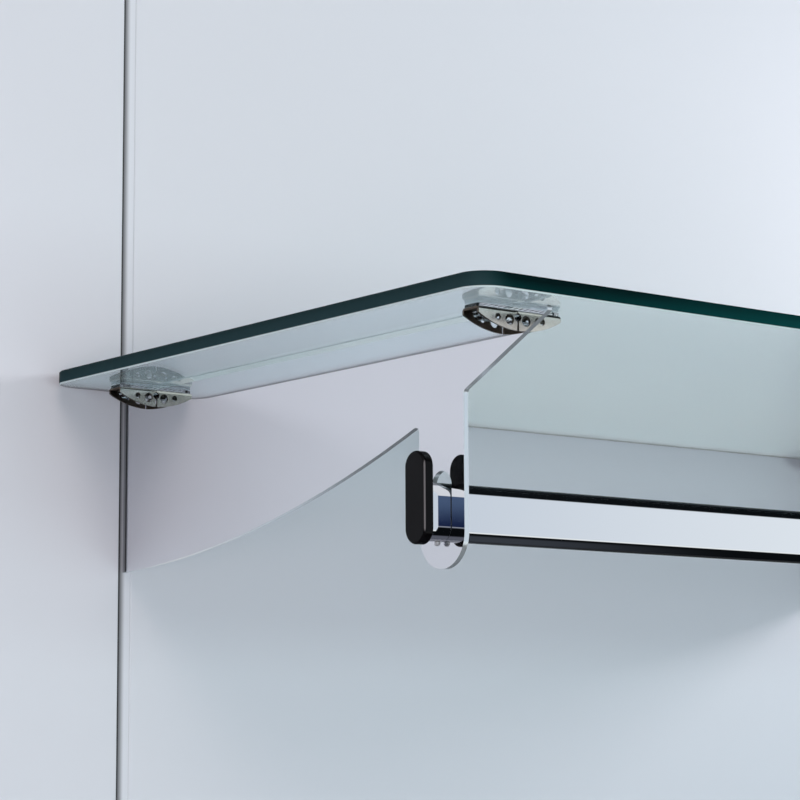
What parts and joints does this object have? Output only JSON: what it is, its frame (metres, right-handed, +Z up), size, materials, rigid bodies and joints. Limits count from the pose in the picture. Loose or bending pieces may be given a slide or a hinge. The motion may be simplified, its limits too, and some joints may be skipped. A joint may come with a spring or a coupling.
{
  "type": "wall shelf with brackets",
  "caption": "Glass wall shelf lying on plate brackets that hook into the wall joints, with an oval clothes rail hung through the bracket arms.",
  "frame": {"origin": "on the wall face, midway between the two bracket plates, at the height of the glass underside", "axes": "+X to the right along the wall and the rail, -Y away from the wall towards the user, +Z up"},
  "size_m": [0.708, 0.4272, 0.1333],
  "materials": {
    "polished_chrome": "mirror polished chrome plate",
    "nickel_sheet": "bright nickel on stamped sheet",
    "clear_pad": "clear soft plastic",
    "float_glass": "clear float glass with polished green edges",
    "chrome_tube": "polished chrome tube",
    "black_plastic": "satin black moulding",
    "screw_steel": "bright zinc"
  },
  "bodies": {
    "brackets": {"bracket_plate_left": "polished_chrome", "bracket_plate_right": "polished_chrome", "carrier_rear_left": "nickel_sheet", "carrier_rear_right": "nickel_sheet", "carrier_front_left": "nickel_sheet", "carrier_front_right": "nickel_sheet", "pad_rear_left": "clear_pad", "pad_rear_right": "clear_pad", "pad_front_left": "clear_pad", "pad_front_right": "clear_pad"},
    "shelf": {"glass_shelf": "float_glass"},
    "rail": {"hanging_rail": "chrome_tube", "lock_screw_left": "screw_steel", "lock_screw_right": "screw_steel"},
    "stop_left": {"end_stop_left": "black_plastic"},
    "stop_right": {"end_stop_right": "black_plastic"}
  },
  "joints": [
    {"name": "shelf_lift", "type": "slide", "parent": "brackets", "child": "shelf", "axis": [0, 0, 1], "range_m": [0, 0.06]},
    {"name": "rail_lift", "type": "slide", "parent": "brackets", "child": "rail", "axis": [0, 0, 1], "range_m": [0, 0.006]},
    {"name": "end_stop_left_pull", "type": "slide", "parent": "rail", "child": "stop_left", "axis": [-1, 0, 0], "range_m": [0, 0.02]},
    {"name": "end_stop_right_pull", "type": "slide", "parent": "rail", "child": "stop_right", "axis": [1, 0, 0], "range_m": [0, 0.02]}
  ]
}
